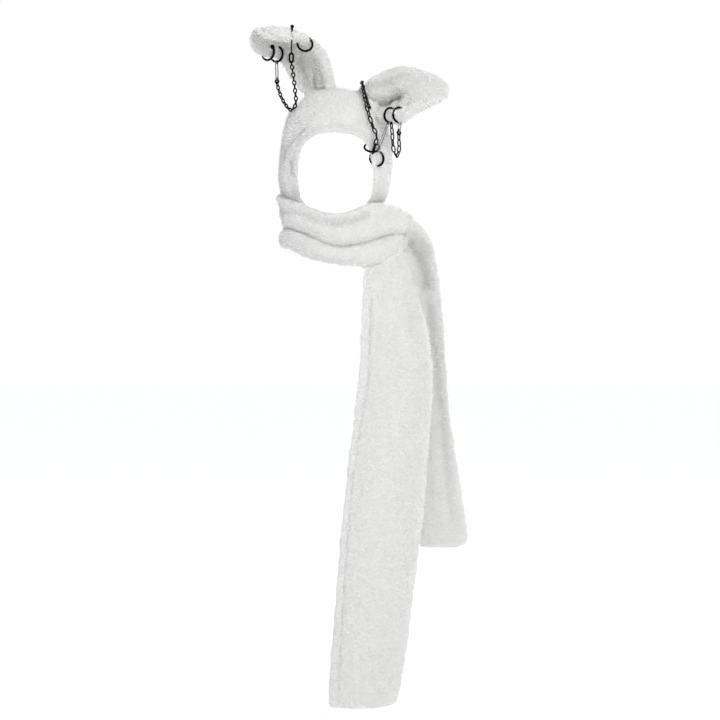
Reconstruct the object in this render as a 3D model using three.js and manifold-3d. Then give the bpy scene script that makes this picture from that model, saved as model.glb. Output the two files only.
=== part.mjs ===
// Animal hood scarf: a hollow plush hood with two cupped ears, a scarf wound
// round the neck with two hanging ends, and black hoops, safety pins and chains.
// Millimetres, +Z up, the face opening looks along -Y. The origin is the inside
// top of the crown, where the hood rests.
import * as THREE from 'three';
import { mergeVertices } from 'three/addons/utils/BufferGeometryUtils.js';
import Module from 'manifold-3d';

const wasm = await Module();
wasm.setup();

// Hood
const hoodWidth = 192;
const hoodDepth = 210;
const hoodHeight = 228;
const hoodSetBack = 8;
const fleeceWall = 6;
const hoodRoundness = 2.15;
const openingWidth = 117;
const openingHeight = 127;
const browDrop = 79;
const hemThickness = 9;
const creaseDepth = 4;
const creaseWidth = 6;

// Ears
const earLeftLength = 150;
const earLeftWidth = 74;
const earLeftCup = 22;
const earLeftWall = 10;
const earLeftBackRim = 0.3;
const earLeftFrontRim = 2.4;
const earRightLength = 150;
const earRightWidth = 92;
const earRightCup = 24;
const earRightWall = 10;
const earRightTopRim = 1.6;
const earRightFootRim = 1.3;

// Scarf
const neckBore = 148;
const wrapThickness = 38;
const wrapHeight = 55;
const wrapDrop = 206;
const lowerRollHeight = 30;
const foldGroove = 7;
const tailCloth = 9;
const tailFrontLength = 737;
const tailFrontWidth = 122;
const tailFrontSway = 6;
const tailBackLength = 545;
const tailBackWidth = 120;
const tailBackSway = 6;
const tailSpacing = 64;
const seamInset = 20;

// Hardware
const hoopWire = 2.5;
const hoopSpan = 28;
const hoopBall = 6;
const pinWire = 1.3;
const pinGauge = 7.6;
const chainWire = 1.5;
const smallLinkPitch = 6.5;
const smallLinkWidth = 6.5;
const longLinkPitch = 10.4;
const longLinkWidth = 7;
const loopLinkPitch = 9.6;
const clipWire = 2.2;
const clipWidth = 8.4;
const clipLength = 13;
const ringSpan = 8;
const pinLeftLength = 29;
const pinRightLength = 13;
const leftLoopDrop = 77;
const rightLoopDrop = 55;
const longChainLead = 14;

// Clearances
const seatGap = 0.35;
const wireGap = 0.4;

const steelBlack = { color: 0x1b1b1d, roughness: 0.35, metalness: 0.9 };
const steelSilver = { color: 0xb9bcc0, roughness: 0.3, metalness: 0.95 };
const plushWhite = { color: 0xe6e6e2, roughness: 0.95, metalness: 0 };

// Mesh helpers
const lerp = (a, b, f) => a + (b - a) * f;
const vec = (x, y, z) => new THREE.Vector3(x, y, z);

function smoothRow(rows, t) {
  const last = rows.length - 1;
  const at = Math.min(Math.max(t, 0), 1) * last;
  const i = Math.min(Math.floor(at), last - 1);
  const f = at - i;
  const before = rows[Math.max(i - 1, 0)];
  const after = rows[Math.min(i + 2, last)];
  return rows[i].map((b, k) => {
    const c = rows[i + 1][k];
    const a = before[k];
    const d = after[k];
    const m1 = (c - a) / 2;
    const m2 = (d - b) / 2;
    const f2 = f * f;
    const f3 = f2 * f;
    return (2 * f3 - 3 * f2 + 1) * b + (f3 - 2 * f2 + f) * m1
      + (3 * f2 - 2 * f3) * c + (f3 - f2) * m2;
  });
}

function solidFromTriangles(points, triangles) {
  let volume = 0;
  for (const [a, b, c] of triangles) {
    volume += points[a].dot(points[b].clone().cross(points[c]));
  }
  const vertProperties = new Float32Array(points.length * 3);
  points.forEach((p, i) => vertProperties.set([p.x, p.y, p.z], i * 3));
  const triVerts = new Uint32Array(triangles.length * 3);
  triangles.forEach(([a, b, c], i) => {
    triVerts.set(volume > 0 ? [a, b, c] : [a, c, b], i * 3);
  });
  return new wasm.Manifold(new wasm.Mesh({ numProp: 3, vertProperties, triVerts }));
}

// Rings of equal count joined in order: open ends are closed by a middle point
function loftSolid(rings, closed = false) {
  const points = rings.flat();
  const n = rings[0].length;
  const triangles = [];
  const spans = closed ? rings.length : rings.length - 1;
  for (let i = 0; i < spans; i += 1) {
    const a = i * n;
    const b = ((i + 1) % rings.length) * n;
    for (let j = 0; j < n; j += 1) {
      const k = (j + 1) % n;
      triangles.push([a + j, a + k, b + j], [b + j, a + k, b + k]);
    }
  }
  if (!closed) {
    for (const [ring, start, turned] of [[rings[0], 0, true],
      [rings[rings.length - 1], (rings.length - 1) * n, false]]) {
      const middle = ring.reduce((s, p) => s.add(p), vec(0, 0, 0)).divideScalar(n);
      points.push(middle);
      const m = points.length - 1;
      for (let j = 0; j < n; j += 1) {
        const k = (j + 1) % n;
        triangles.push(turned ? [m, start + k, start + j] : [m, start + j, start + k]);
      }
    }
  }
  return solidFromTriangles(points, triangles);
}

function solidFromGeometry(geometry) {
  const bare = geometry.clone();
  bare.deleteAttribute('normal');
  bare.deleteAttribute('uv');
  const merged = mergeVertices(bare, 1e-4);
  return new wasm.Manifold(new wasm.Mesh({
    numProp: 3,
    vertProperties: new Float32Array(merged.attributes.position.array),
    triVerts: new Uint32Array(merged.index.array),
  }));
}

function geometryFromSolid(solid) {
  const mesh = solid.getMesh();
  const geometry = new THREE.BufferGeometry();
  const position = new Float32Array(mesh.numVert * 3);
  for (let i = 0; i < mesh.numVert; i += 1) {
    for (let k = 0; k < 3; k += 1) {
      position[i * 3 + k] = mesh.vertProperties[i * mesh.numProp + k];
    }
  }
  geometry.setAttribute('position', new THREE.BufferAttribute(position, 3));
  geometry.setIndex(new THREE.BufferAttribute(new Uint32Array(mesh.triVerts), 1));
  return geometry;
}

const unite = (solids) => solids.reduce((all, one) => all.add(one));

// Hood form: level sections, each with its drop and four half sizes, as shares
// of the hood's height, half width and half depth
const hoodColumns = [
  // drop, left, right, front, back
  [0.006, 0.14, 0.14, 0.12, 0.14],
  [0.028, 0.34, 0.34, 0.36, 0.36],
  [0.079, 0.56, 0.57, 0.62, 0.56],
  [0.134, 0.72, 0.73, 0.77, 0.70],
  [0.186, 0.83, 0.83, 0.86, 0.80],
  [0.305, 0.91, 0.91, 0.955, 0.91],
  [0.423, 0.955, 0.96, 0.99, 0.97],
  [0.529, 0.99, 0.985, 0.99, 1.00],
  [0.643, 1.00, 0.96, 0.97, 0.97],
  [0.720, 0.98, 0.93, 0.94, 0.90],
  [0.790, 0.90, 0.88, 0.88, 0.80],
  [0.850, 0.79, 0.79, 0.78, 0.74],
  [0.914, 0.74, 0.74, 0.72, 0.68],
  [1.000, 0.71, 0.71, 0.66, 0.64],
];

// Soft crease beside the face band on the left, as shares of half width and height
const creaseLine = [[-0.99, 0.57], [-0.93, 0.50], [-0.80, 0.42], [-0.64, 0.33]];
const browDent = [[-0.76, 0.52], [-0.77, 0.60]];

const hoodTop = fleeceWall;
const halfWide = hoodWidth / 2;
const halfDeep = hoodDepth / 2;

function lineDistance(line, x, z) {
  let best = Infinity;
  for (let i = 0; i + 1 < line.length; i += 1) {
    const [ax, az] = line[i];
    const [bx, bz] = line[i + 1];
    const dx = bx - ax;
    const dz = bz - az;
    const f = Math.min(Math.max(((x - ax) * dx + (z - az) * dz) / (dx * dx + dz * dz), 0), 1);
    best = Math.min(best, Math.hypot(x - ax - dx * f, z - az - dz * f));
  }
  return best;
}

const creaseMillimetres = [creaseLine, browDent].map((line) => line.map(
  ([across, drop]) => [across * halfWide, hoodTop - drop * hoodHeight],
));

function hoodRing(t, grow, count, drop = 0) {
  const [fall, left, right, front, back] = smoothRow(hoodColumns, t);
  const z = hoodTop - fall * hoodHeight + drop;
  const ring = [];
  for (let j = 0; j < count; j += 1) {
    const a = (j / count) * Math.PI * 2;
    const c = Math.cos(a);
    const s = Math.sin(a);
    const wide = (c < 0 ? left : right) * halfWide + grow;
    const deep = (s < 0 ? front : back) * halfDeep + grow;
    const power = 2 / hoodRoundness;
    let x = Math.sign(c) * Math.abs(c) ** power * wide;
    let y = Math.sign(s) * Math.abs(s) ** power * deep;
    if (grow >= 0 && y < 0) {
      let dent = 0;
      for (const line of creaseMillimetres) {
        const d = lineDistance(line, x, z) / creaseWidth;
        dent = Math.max(dent, creaseDepth * Math.exp(-d * d));
      }
      const reach = Math.hypot(x, y);
      x *= 1 - dent / reach;
      y *= 1 - dent / reach;
    }
    ring.push(vec(x, y + hoodSetBack, z));
  }
  return ring;
}

function hoodForm(grow, levels, count, bottomRun) {
  const rings = [];
  const top = vec(0, hoodSetBack, hoodTop + grow);
  const tiny = hoodRing(0, 0, count).map((p) => p.clone().lerp(top, 0.55));
  rings.push(tiny.map((p) => vec(p.x, p.y, hoodTop + grow)));
  for (let i = 0; i <= levels; i += 1) {
    const t = i / levels;
    const shrink = grow < 0 ? Math.max(grow, -6 - 20 * t) : grow;
    rings.push(hoodRing(t, shrink, count, grow * (1 - t)));
  }
  if (bottomRun) {
    rings.push(rings[rings.length - 1].map((p) => vec(p.x, p.y, p.z - bottomRun)));
  }
  return loftSolid(rings);
}

// Front face of the hood at a place seen from the front
function hoodFrontY(x, z) {
  const share = (hoodTop - z) / hoodHeight;
  let low = 0;
  let high = 1;
  for (let i = 0; i < 30; i += 1) {
    const mid = (low + high) / 2;
    if (smoothRow(hoodColumns, mid)[0] < share) low = mid;
    else high = mid;
  }
  const [, left, right, front] = smoothRow(hoodColumns, low);
  const wide = (x < 0 ? left : right) * halfWide;
  const across = Math.min(Math.abs(x) / wide, 0.999);
  return hoodSetBack
    - front * halfDeep * (1 - across ** hoodRoundness) ** (1 / hoodRoundness);
}

const openingMiddleZ = -browDrop - openingHeight / 2;

function openingEdge(a, out) {
  const power = 2 / 2.7;
  const c = Math.cos(a);
  const s = Math.sin(a);
  return [
    Math.sign(c) * Math.abs(c) ** power * (openingWidth / 2 + out),
    openingMiddleZ + Math.sign(s) * Math.abs(s) ** power * (openingHeight / 2 + out),
  ];
}

function hoodSolid() {
  const shell = hoodForm(0, 15, 32, 0).subtract(hoodForm(-fleeceWall, 11, 20, fleeceWall * 3));
  const count = 24;
  const front = [];
  const back = [];
  for (let i = 0; i < count; i += 1) {
    const [x, z] = openingEdge((i / count) * Math.PI * 2, hemThickness * 0.3);
    front.push(vec(x, -hoodDepth, z));
    back.push(vec(x, hoodSetBack - halfDeep * 0.35, z));
  }
  const cutter = loftSolid([front, back]);
  const hemRings = [];
  const sides = 6;
  for (let i = 0; i < count; i += 1) {
    const a = (i / count) * Math.PI * 2;
    const at = (angle) => {
      const [x, z] = openingEdge(angle, hemThickness / 2);
      return vec(x, hoodFrontY(x, z) + fleeceWall * 0.55, z);
    };
    const middle = at(a);
    const along = at(a + 0.05).sub(at(a - 0.05)).normalize();
    const inward = vec(0, 0, openingMiddleZ).setX(0).sub(middle).setY(0).normalize();
    const normal = along.clone().cross(inward).normalize();
    const side = normal.clone().cross(along).normalize();
    const ring = [];
    for (let j = 0; j < sides; j += 1) {
      const b = (j / sides) * Math.PI * 2;
      ring.push(middle.clone()
        .addScaledVector(side, Math.cos(b) * hemThickness / 2)
        .addScaledVector(normal, Math.sin(b) * hemThickness * 0.55));
    }
    hemRings.push(ring);
  }
  return shell.subtract(cutter).add(loftSolid(hemRings, true));
}

// Ears: cupped sections along a bent spine. Each row has the spine's place and
// the half width as shares of the ear's length and width, the cup and the wall
// as shares of theirs, and the direction that the cup opens to.
const earLeftRoot = vec(-0.27 * halfWide, hoodSetBack - 0.33 * halfDeep, hoodTop - 0.06 * hoodHeight);
const earLeftRows = [
  // x, y, z, width, cup, wall, open x, open y, open z
  [0.01, 0.06, -0.12, 0.30, 0.45, 1.0, 0, -1, 0],
  [0.00, 0.02, 0.00, 0.33, 0.65, 1.0, 0, -1, 0],
  [-0.05, 0.04, 0.14, 0.43, 0.95, 1.0, 0, -1, 0],
  [-0.13, 0.06, 0.28, 0.50, 1.0, 1.0, 0.05, -1, -0.05],
  [-0.20, 0.03, 0.41, 0.49, 0.95, 1.0, 0.05, -1, -0.3],
  [-0.29, -0.04, 0.49, 0.44, 1.0, 1.0, 0, -1, -1.0],
  [-0.41, -0.12, 0.52, 0.42, 1.15, 1.0, 0, -1, -1.6],
  [-0.54, -0.19, 0.52, 0.42, 1.2, 1.0, 0, -1, -1.7],
  [-0.66, -0.24, 0.55, 0.34, 0.95, 0.95, 0, -1, -1.7],
  [-0.735, -0.26, 0.59, 0.19, 0.5, 0.8, 0, -1, -1.7],
];
const earRightRoot = vec(0.44 * halfWide, hoodSetBack - 0.34 * halfDeep, hoodTop - 0.06 * hoodHeight);
const earRightRows = [
  [-0.06, 0.10, -0.03, 0.24, 0.35, 1.0, 0, -0.87, 0.5],
  [0.04, 0.00, -0.01, 0.29, 0.7, 1.0, 0, -0.87, 0.5],
  [0.16, -0.05, 0.02, 0.38, 1.1, 1.0, 0, -0.87, 0.5],
  [0.30, -0.09, 0.02, 0.46, 1.1, 1.1, 0, -0.9, 0.42],
  [0.44, -0.11, 0.02, 0.48, 0.6, 1.2, 0, -0.95, 0.3],
  [0.58, -0.13, 0.03, 0.42, 0.3, 1.4, 0, -1, 0.2],
  [0.72, -0.13, 0.035, 0.33, 0.15, 1.5, 0, -1, 0.1],
  [0.85, -0.12, 0.035, 0.23, 0.08, 1.3, 0, -1, 0],
  [0.93, -0.11, 0.03, 0.13, 0.05, 0.9, 0, -1, 0],
];
const cupAngle = 1.25;

function earFrame(ear, t) {
  const at = (u) => {
    const [x, y, z] = smoothRow(ear.rows, u);
    return vec(x, y, z).multiplyScalar(ear.length).add(ear.root);
  };
  const row = smoothRow(ear.rows, t);
  const middle = at(t);
  const along = at(Math.min(t + 0.02, 1)).sub(at(Math.max(t - 0.02, 0))).normalize();
  const open = vec(row[6], row[7], row[8]);
  open.addScaledVector(along, -open.dot(along)).normalize();
  const wide = along.clone().cross(open).normalize();
  return { middle, along, open, wide, half: row[3] * ear.width, cup: row[4] * ear.cup,
    wall: row[5] * ear.wall };
}

// Point of the ear's cloth: s runs across from rim to rim, off leaves the middle
function earPoint(ear, t, s, off = 0) {
  const { middle, open, wide, half, cup } = earFrame(ear, t);
  const place = (q) => {
    const a = q * cupAngle;
    return [
      half * Math.sin(a) / Math.sin(cupAngle),
      -cup * (Math.cos(a) - Math.cos(cupAngle)) / (1 - Math.cos(cupAngle)),
    ];
  };
  const [u, v] = place(s);
  const [u1, v1] = place(s + 0.01);
  const [u0, v0] = place(s - 0.01);
  const run = Math.hypot(u1 - u0, v1 - v0);
  const nu = -(v1 - v0) / run;
  const nv = (u1 - u0) / run;
  return middle.clone()
    .addScaledVector(wide, u + nu * off)
    .addScaledVector(open, v + nv * off);
}

// The open side is padded towards each rim by the rim's share of the wall
function earSolid(ear, stations, across) {
  const rings = [];
  for (let i = 0; i <= stations; i += 1) {
    const t = i / stations;
    const { wall, half } = earFrame(ear, t);
    const rim = Math.min(wall / 2 / half, 0.5);
    const openSide = (s) => {
      const swell = (s < 0 ? ear.rims[0] : ear.rims[1]) * Math.abs(s) ** 1.5;
      return Math.min(wall / 2 * (1 + swell), 0.7 * half);
    };
    const ring = [];
    for (let j = 0; j <= across; j += 1) {
      ring.push(earPoint(ear, t, lerp(-1, 1, j / across), -wall / 2));
    }
    ring.push(earPoint(ear, t, 1 + rim, 0));
    for (let j = across; j >= 0; j -= 1) {
      const s = lerp(-1, 1, j / across);
      ring.push(earPoint(ear, t, s, openSide(s)));
    }
    ring.push(earPoint(ear, t, -1 - rim, 0));
    rings.push(ring);
  }
  return loftSolid(rings);
}

const earLeft = { rows: earLeftRows, root: earLeftRoot, length: earLeftLength,
  width: earLeftWidth, cup: earLeftCup, wall: earLeftWall, rims: [earLeftBackRim, earLeftFrontRim] };
const earRight = { rows: earRightRows, root: earRightRoot, length: earRightLength,
  width: earRightWidth, cup: earRightCup, wall: earRightWall, rims: [earRightTopRim, earRightFootRim] };

// Scarf turns round the neck: azimuth 0 is the front and 90 the right side.
// The turn's top edge, fold, foot and the lower roll's foot are shares of the
// turn's height below its front edge; reach is the share of the thickness.
const turnRows = [
  // inner reach, outer reach, top, fold, foot, lower reach, lower foot
  [0.02, 1.00, 0.00, 0.31, 1.00, 0.98, 1.00],
  [0.03, 1.00, -0.28, 0.12, 0.85, 1.01, 1.32],
  [0.10, 1.04, -0.36, 0.20, 0.60, 1.06, 1.42],
  [0.20, 1.22, -0.26, 0.30, 0.54, 1.22, 0.75],
  [0.20, 1.05, -0.36, 0.20, 0.52, 1.05, 0.90],
  [0.10, 0.92, -0.50, 0.05, 0.50, 0.90, 1.00],
  [0.03, 0.86, -0.55, 0.00, 0.50, 0.84, 1.00],
  [0.02, 0.76, -0.58, -0.10, 0.46, 0.74, 0.95],
  [0.02, 0.66, -0.62, -0.18, 0.38, 0.62, 0.90],
  [0.02, 0.62, -0.66, -0.20, 0.28, 0.54, 1.36],
  [0.02, 0.74, -0.44, -0.08, 0.37, 0.70, 1.20],
  [0.02, 0.92, -0.26, 0.06, 0.59, 0.90, 1.38],
];

function turnRow(azimuth) {
  const n = turnRows.length;
  const at = ((azimuth / (Math.PI * 2)) * n + n) % n;
  const i = Math.floor(at);
  const rows = [-1, 0, 1, 2].map((k) => turnRows[(i + k + n) % n]);
  return smoothRow(rows, (1 + at - i) / 3);
}

const boreRadius = neckBore / 2;

function turnPoint(azimuth, reach, z) {
  return vec(Math.sin(azimuth) * reach, hoodSetBack * 0.5 - Math.cos(azimuth) * reach, z);
}

function rollSection(azimuth, inner, outer, top, foot, fold, depth, count) {
  const ring = [];
  const middleReach = (inner + outer) / 2;
  const middleZ = (top + foot) / 2;
  const power = 2 / 2.3;
  for (let j = 0; j < count; j += 1) {
    const a = (j / count) * Math.PI * 2;
    const c = Math.cos(a);
    const s = Math.sin(a);
    const z = middleZ + Math.sign(s) * Math.abs(s) ** power * (top - foot) / 2;
    let reach = middleReach + Math.sign(c) * Math.abs(c) ** power * (outer - inner) / 2;
    if (c > 0.05 && depth > 0) {
      const d = (z - fold) / (Math.abs(top - foot) * 0.13);
      reach -= depth * Math.exp(-d * d);
    }
    ring.push(turnPoint(azimuth, reach, z));
  }
  return ring;
}

function upperTurnForm(grow) {
  const stations = 28;
  const rings = [];
  for (let i = 0; i < stations; i += 1) {
    const azimuth = (i / stations) * Math.PI * 2;
    const [inner, outer, top, fold, foot] = turnRow(azimuth);
    const depth = foldGroove * (0.5 + 0.5 * Math.cos(azimuth + 0.6));
    rings.push(rollSection(
      azimuth,
      boreRadius + inner * wrapThickness - grow,
      boreRadius + outer * wrapThickness + grow,
      -wrapDrop - top * wrapHeight + grow,
      -wrapDrop - foot * wrapHeight - grow,
      -wrapDrop - fold * wrapHeight,
      depth,
      14,
    ));
  }
  return loftSolid(rings, true);
}

function lowerRollForm(grow) {
  const stations = 28;
  const rings = [];
  for (let i = 0; i < stations; i += 1) {
    const azimuth = (i / stations) * Math.PI * 2;
    const [inner, , , , foot, lowerReach, lowerFoot] = turnRow(azimuth);
    rings.push(rollSection(
      azimuth,
      boreRadius + (inner + 0.02) * wrapThickness - grow,
      boreRadius + lowerReach * wrapThickness + grow,
      -wrapDrop - foot * wrapHeight - seatGap * 2.5 + grow,
      -wrapDrop - foot * wrapHeight - lowerFoot * lowerRollHeight - grow,
      0,
      0,
      10,
    ));
  }
  return loftSolid(rings, true);
}

// The room inside both turns, which the hanging ends stop short of
function turnCore() {
  const stations = 28;
  const rings = [];
  for (let i = 0; i < stations; i += 1) {
    const azimuth = (i / stations) * Math.PI * 2;
    const [inner, outer, top, , foot, lowerReach, lowerFoot] = turnRow(azimuth);
    rings.push(rollSection(
      azimuth,
      boreRadius + inner * wrapThickness + seatGap,
      boreRadius + Math.min(outer, lowerReach) * wrapThickness - seatGap * 3,
      -wrapDrop - (top + (foot - top) * 0.4) * wrapHeight,
      -wrapDrop - foot * wrapHeight - lowerFoot * lowerRollHeight * 0.6,
      0,
      0,
      8,
    ));
  }
  return loftSolid(rings, true);
}

// Hanging ends: rows of drop, left edge, right edge and forward place, as
// shares of the tail's length, width and sway
const tailReach = boreRadius + 0.5 * wrapThickness;
const tailFrontTop = vec(0.41 * wrapThickness + 30, -tailReach, -wrapDrop - 1.07 * wrapHeight);
const tailFrontRows = [
  // drop, left, right, forward, follow
  [0.000, 0.00, 0.53, -1.5, 0.8],
  [0.040, 0.00, 0.60, -1.0, 0.68],
  [0.071, 0.00, 0.69, -0.2, 0.4],
  [0.129, -0.015, 0.77, 0.1, 0.12],
  [0.201, -0.035, 0.876, 0.3, 0.0],
  [0.259, -0.06, 0.90, 0.2, 0.0],
  [0.303, -0.076, 0.91, 0.0, 0.0],
  [0.380, -0.133, 0.865, -0.2, 0.0],
  [0.467, -0.205, 0.84, 0.0, 0.0],
  [0.543, -0.25, 0.803, 0.2, 0.0],
  [0.630, -0.304, 0.744, 0.1, 0.0],
  [0.727, -0.353, 0.678, 0.0, 0.0],
  [0.814, -0.388, 0.62, 0.1, 0.0],
  [0.889, -0.433, 0.56, 0.0, 0.0],
  [0.960, -0.466, 0.487, 0.0, 0.0],
  [0.988, -0.47, 0.45, 0.0, 0.0],
  [1.000, -0.43, 0.40, 0.0, 0.0],
];
const tailBackRows = [
  [0.000, -0.12, 0.14, 0.0, 0.6],
  [0.042, -0.14, 0.33, 0.0, 0.4],
  [0.074, -0.18, 0.427, 0.1, 0.2],
  [0.125, -0.24, 0.504, 0.2, 0.1],
  [0.219, -0.32, 0.565, 0.2, 0.0],
  [0.297, -0.36, 0.604, 0.0, 0.0],
  [0.378, -0.36, 0.622, 0.1, 0.0],
  [0.459, -0.33, 0.645, 0.3, 0.0],
  [0.563, -0.29, 0.675, 0.1, 0.0],
  [0.644, -0.25, 0.715, 0.0, 0.0],
  [0.713, -0.22, 0.768, 0.1, 0.0],
  [0.782, -0.18, 0.818, 0.2, 0.0],
  [0.851, -0.14, 0.864, 0.1, 0.0],
  [0.920, -0.10, 0.912, 0.1, 0.0],
  [0.975, -0.06, 0.935, 0.0, 0.0],
  [1.000, -0.02, 0.86, 0.0, 0.0],
];

function tailSolid(top, rows, length, width, sway, grow) {
  const rings = [];
  const across = 7;
  const stations = 14;
  for (let i = 0; i <= stations; i += 1) {
    const [drop, left, right, forward, follow] = smoothRow(rows, i / stations);
    const half = tailCloth / 2 + grow;
    const at = (f, off) => {
      const x = top.x + lerp(left, right, f) * width;
      const inset = (f * (right - left) * width - seamInset) / (seamInset * 0.35);
      const seam = Math.exp(-inset * inset) * tailCloth * 0.18;
      const wave = Math.sin(f * 9 + drop * 2.2) * 0.5 + Math.sin(f * 4 - drop * 3) * 0.6;
      const round = Math.sqrt(Math.max(1 - (x / (tailReach * 1.27)) ** 2, 0.04));
      const y = top.y - forward * sway + wave * sway * (1 - drop * 0.5)
        + follow * tailReach * (1 - round);
      return vec(x, y + off * (half - (off < 0 ? seam : 0)), top.z - drop * length);
    };
    const ring = [];
    for (let j = 0; j <= across; j += 1) ring.push(at(j / across, -1));
    const pad = (half * 0.8) / ((right - left) * width);
    ring.push(at(1 + pad, 0));
    for (let j = across; j >= 0; j -= 1) ring.push(at(j / across, 1));
    ring.push(at(-pad, 0));
    rings.push(ring);
  }
  return loftSolid(rings);
}

// Round and long loops of wire
function loopSolid(middle, long, flat, halfLength, radius, wire, around, sides) {
  const u = long.clone().normalize();
  const n = flat.clone().addScaledVector(u, -flat.dot(u)).normalize();
  const w = n.clone().cross(u).normalize();
  const rings = [];
  const straight = Math.max(halfLength - radius, 0);
  const half = around / 2;
  for (let i = 0; i < around; i += 1) {
    const side = i < half ? 1 : -1;
    const a = straight > 0
      ? -Math.PI / 2 + (Math.PI * (i % half)) / (half - 1) + (side < 0 ? Math.PI : 0)
      : (i / around) * Math.PI * 2;
    const outward = u.clone().multiplyScalar(Math.cos(a)).addScaledVector(w, Math.sin(a));
    const place = middle.clone().addScaledVector(outward, radius);
    if (straight > 0) place.addScaledVector(u, straight * side);
    const ring = [];
    for (let j = 0; j < sides; j += 1) {
      const b = (j / sides) * Math.PI * 2 + Math.PI;
      ring.push(place.clone()
        .addScaledVector(outward, Math.cos(b) * wire / 2)
        .addScaledVector(n, Math.sin(b) * wire / 2));
    }
    rings.push(ring);
  }
  return loftSolid(rings, true);
}

function ballSolid(middle, span) {
  return solidFromGeometry(new THREE.SphereGeometry(span / 2, 8, 6)
    .translate(middle.x, middle.y, middle.z));
}

function rodSolid(from, to, wire) {
  const along = to.clone().sub(from).normalize();
  const side = vec(0.3, 0.9, 0.1).cross(along).normalize();
  const up = along.clone().cross(side).normalize();
  const ring = (p) => [0, 1, 2, 3, 4, 5].map((j) => p.clone()
    .addScaledVector(side, Math.cos(j * Math.PI / 3) * wire / 2)
    .addScaledVector(up, Math.sin(j * Math.PI / 3) * wire / 2));
  return loftSolid([ring(from), ring(to)]);
}

// Hoops: each goes through cloth at a pierced point, with its middle off to one
// side of that point and its flat face turned as named
const hoopRadius = (hoopSpan - hoopWire) / 2;

function hoopAt(pierced, toMiddle, face) {
  const out = toMiddle.clone().normalize();
  const normal = face.clone().addScaledVector(out, -face.dot(out)).normalize();
  const middle = pierced.clone().addScaledVector(out, hoopRadius);
  const wireAt = (direction) => {
    const d = direction.clone().addScaledVector(normal, -direction.dot(normal)).normalize();
    return middle.clone().addScaledVector(d, hoopRadius);
  };
  const runAt = (direction) => wireAt(direction).sub(middle).cross(normal).normalize();
  return { pierced, middle, normal, out, wireAt, runAt };
}

const hoopSolid = (hoop) => loopSolid(
  hoop.middle, hoop.out, hoop.normal, hoopRadius, hoopRadius, hoopWire, 13, 5,
);
const hoopChannel = (hoop) => loopSolid(
  hoop.middle, hoop.out, hoop.normal, hoopRadius, hoopRadius, hoopWire + wireGap * 2.6, 13, 5,
);

function hemPoint(across, drop, inset = 0) {
  const x = across * openingWidth / 2;
  const z = -browDrop - drop * openingHeight;
  return vec(x, hoodFrontY(x, z) + fleeceWall * inset, z);
}

const hoops = {
  hoop_left_ear_top: hoopAt(earPoint(earLeft, 0.57, 0.74).add(vec(-1, -3, -6)), vec(0.5, -0.2, -0.85), vec(0.15, -1, 0.3)),
  hoop_left_ear_middle: hoopAt(earPoint(earLeft, 0.64, -0.62), vec(0, 0, -1), vec(0.55, 0.83, 0)),
  hoop_left_ear_tip: hoopAt(earPoint(earLeft, 0.72, -0.62), vec(-0.1, 0, -1), vec(0.6, 0.8, 0)),
  hoop_hem_upper: hoopAt(hemPoint(1.18, 0.12, 0.5), vec(-0.78, -0.5, -0.35), vec(-0.35, -0.8, 0.5)),
  hoop_hem_lower: hoopAt(hemPoint(1.25, 0.21, 0.5), vec(-0.5, -0.3, -0.8), vec(0.35, -0.9, 0)),
  hoop_right_ear_inner: hoopAt(earPoint(earRight, 0.46, 0.9), vec(-0.83, -0.55, -0.05), vec(0.55, -0.83, 0)),
  hoop_right_ear_outer: hoopAt(earPoint(earRight, 0.53, 0.9), vec(-0.83, -0.55, -0.05), vec(0.55, -0.83, 0)),
};

const ballPlace = hoops.hoop_left_ear_tip.wireAt(vec(0.7, -0.3, 0.7));
let softCuts = [];

// A long loop of wire that hangs between two wires, round both of them
function linkBetween(from, to, fromWire, toWire, wire, width, flat) {
  const along = to.clone().sub(from).normalize();
  const start = from.clone().addScaledVector(along, -(fromWire + wire) / 2 - wireGap);
  const end = to.clone().addScaledVector(along, (toWire + wire) / 2 + wireGap);
  const middle = start.clone().lerp(end, 0.5);
  const square = flat.clone().addScaledVector(along, -flat.dot(along)).normalize();
  return { middle, along, flat: square, wide: square.clone().cross(along), wire, start, end,
    half: start.distanceTo(end) / 2, radius: (width - wire) / 2 };
}

const linkSolid = (link, around = 10, sides = 5, extra = 0) => loopSolid(
  link.middle, link.along, link.flat, link.half, link.radius, link.wire + extra, around, sides,
);

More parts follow.
